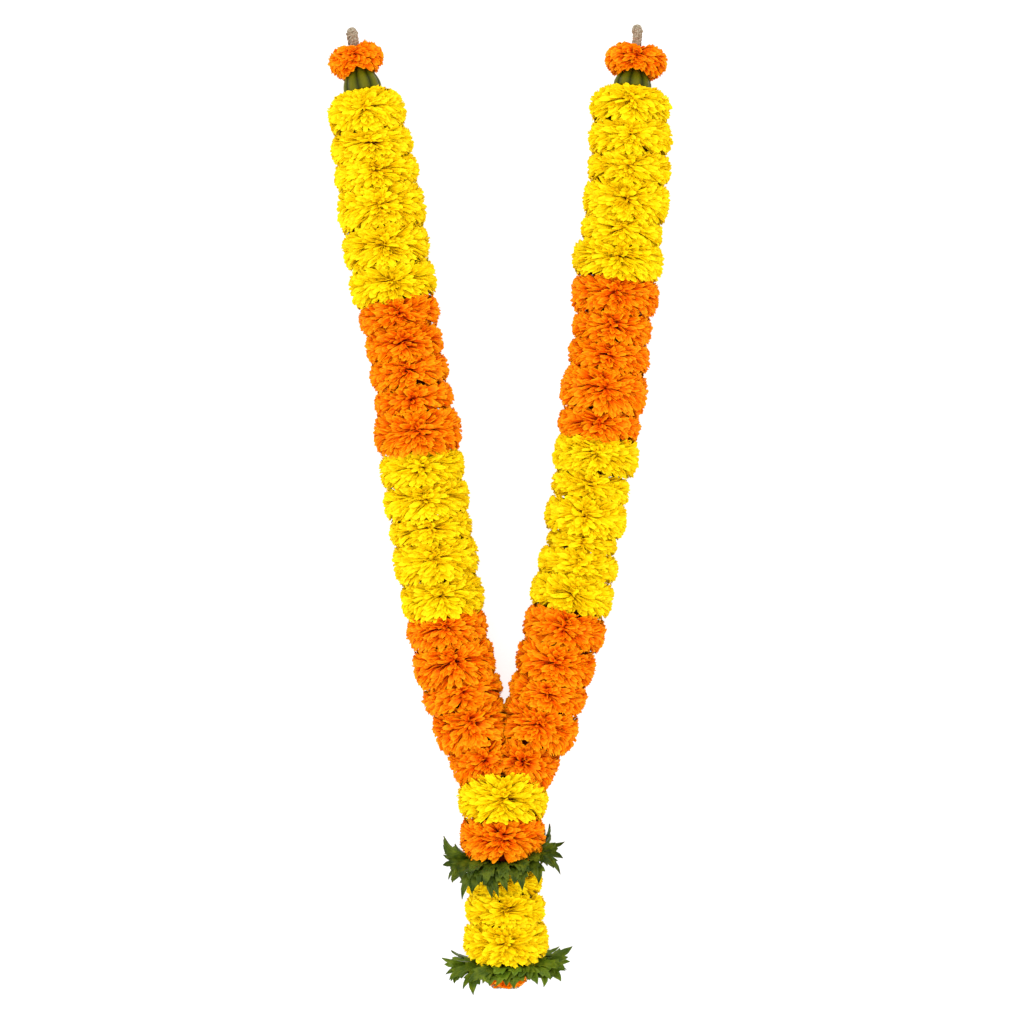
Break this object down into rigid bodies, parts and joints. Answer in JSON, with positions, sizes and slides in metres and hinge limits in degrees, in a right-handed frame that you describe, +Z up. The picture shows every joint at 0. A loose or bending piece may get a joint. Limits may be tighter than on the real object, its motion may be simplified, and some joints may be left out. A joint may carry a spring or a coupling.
{
  "type": "marigold garland",
  "caption": "Marigold garland laid flat: two strands of yellow and orange flower heads on jute cord that join in one tail with collars of toothed green leaves.",
  "frame": {"origin": "centre of the garland's footprint on the surface that it lies on", "axes": "+Y up the garland from its tail to its two free ends, +X to the right strand seen from above, +Z up from the surface"},
  "size_m": [0.276, 0.7733, 0.0779],
  "materials": {
    "yellow_petals": "soft matte fresh petals",
    "orange_petals": "soft matte fresh petals",
    "leaf_green": "satin fresh leaf",
    "calyx_green": "satin fresh stem tissue",
    "jute": "fuzzy twisted jute"
  },
  "bodies": {
    "root": {"end_bloom": "orange_petals", "left_bloom_01": "orange_petals", "left_bloom_02": "yellow_petals", "left_bloom_03": "yellow_petals", "left_bloom_04": "yellow_petals", "left_bloom_05": "yellow_petals", "left_bloom_06": "yellow_petals", "left_bloom_07": "yellow_petals", "left_bloom_08": "orange_petals", "left_bloom_09": "orange_petals", "left_bloom_10": "orange_petals", "left_bloom_11": "orange_petals", "left_bloom_12": "orange_petals", "left_bloom_13": "yellow_petals", "left_bloom_14": "yellow_petals", "left_bloom_15": "yellow_petals", "left_bloom_16": "yellow_petals", "left_bloom_17": "yellow_petals", "left_bloom_18": "orange_petals", "left_bloom_19": "orange_petals", "left_bloom_20": "orange_petals", "left_bloom_21": "orange_petals", "left_bloom_22": "orange_petals", "left_calyx": "calyx_green", "left_cord": "jute", "lower_leaf_ruff": "leaf_green", "right_bloom_01": "orange_petals", "right_bloom_02": "yellow_petals", "right_bloom_03": "yellow_petals", "right_bloom_04": "yellow_petals", "right_bloom_05": "yellow_petals", "right_bloom_06": "yellow_petals", "right_bloom_07": "yellow_petals", "right_bloom_08": "orange_petals", "right_bloom_09": "orange_petals", "right_bloom_10": "orange_petals", "right_bloom_11": "orange_petals", "right_bloom_12": "orange_petals", "right_bloom_13": "yellow_petals", "right_bloom_14": "yellow_petals", "right_bloom_15": "yellow_petals", "right_bloom_16": "yellow_petals", "right_bloom_17": "yellow_petals", "right_bloom_18": "yellow_petals", "right_bloom_19": "orange_petals", "right_bloom_20": "orange_petals", "right_bloom_21": "orange_petals", "right_bloom_22": "orange_petals", "right_bloom_23": "orange_petals", "right_calyx": "calyx_green", "right_cord": "jute", "tail_bloom_01": "yellow_petals", "tail_bloom_02": "orange_petals", "tail_bloom_03": "yellow_petals", "tail_bloom_04": "yellow_petals", "tail_bloom_05": "yellow_petals", "tail_knot": "jute", "upper_leaf_ruff": "leaf_green"}
  },
  "joints": []
}
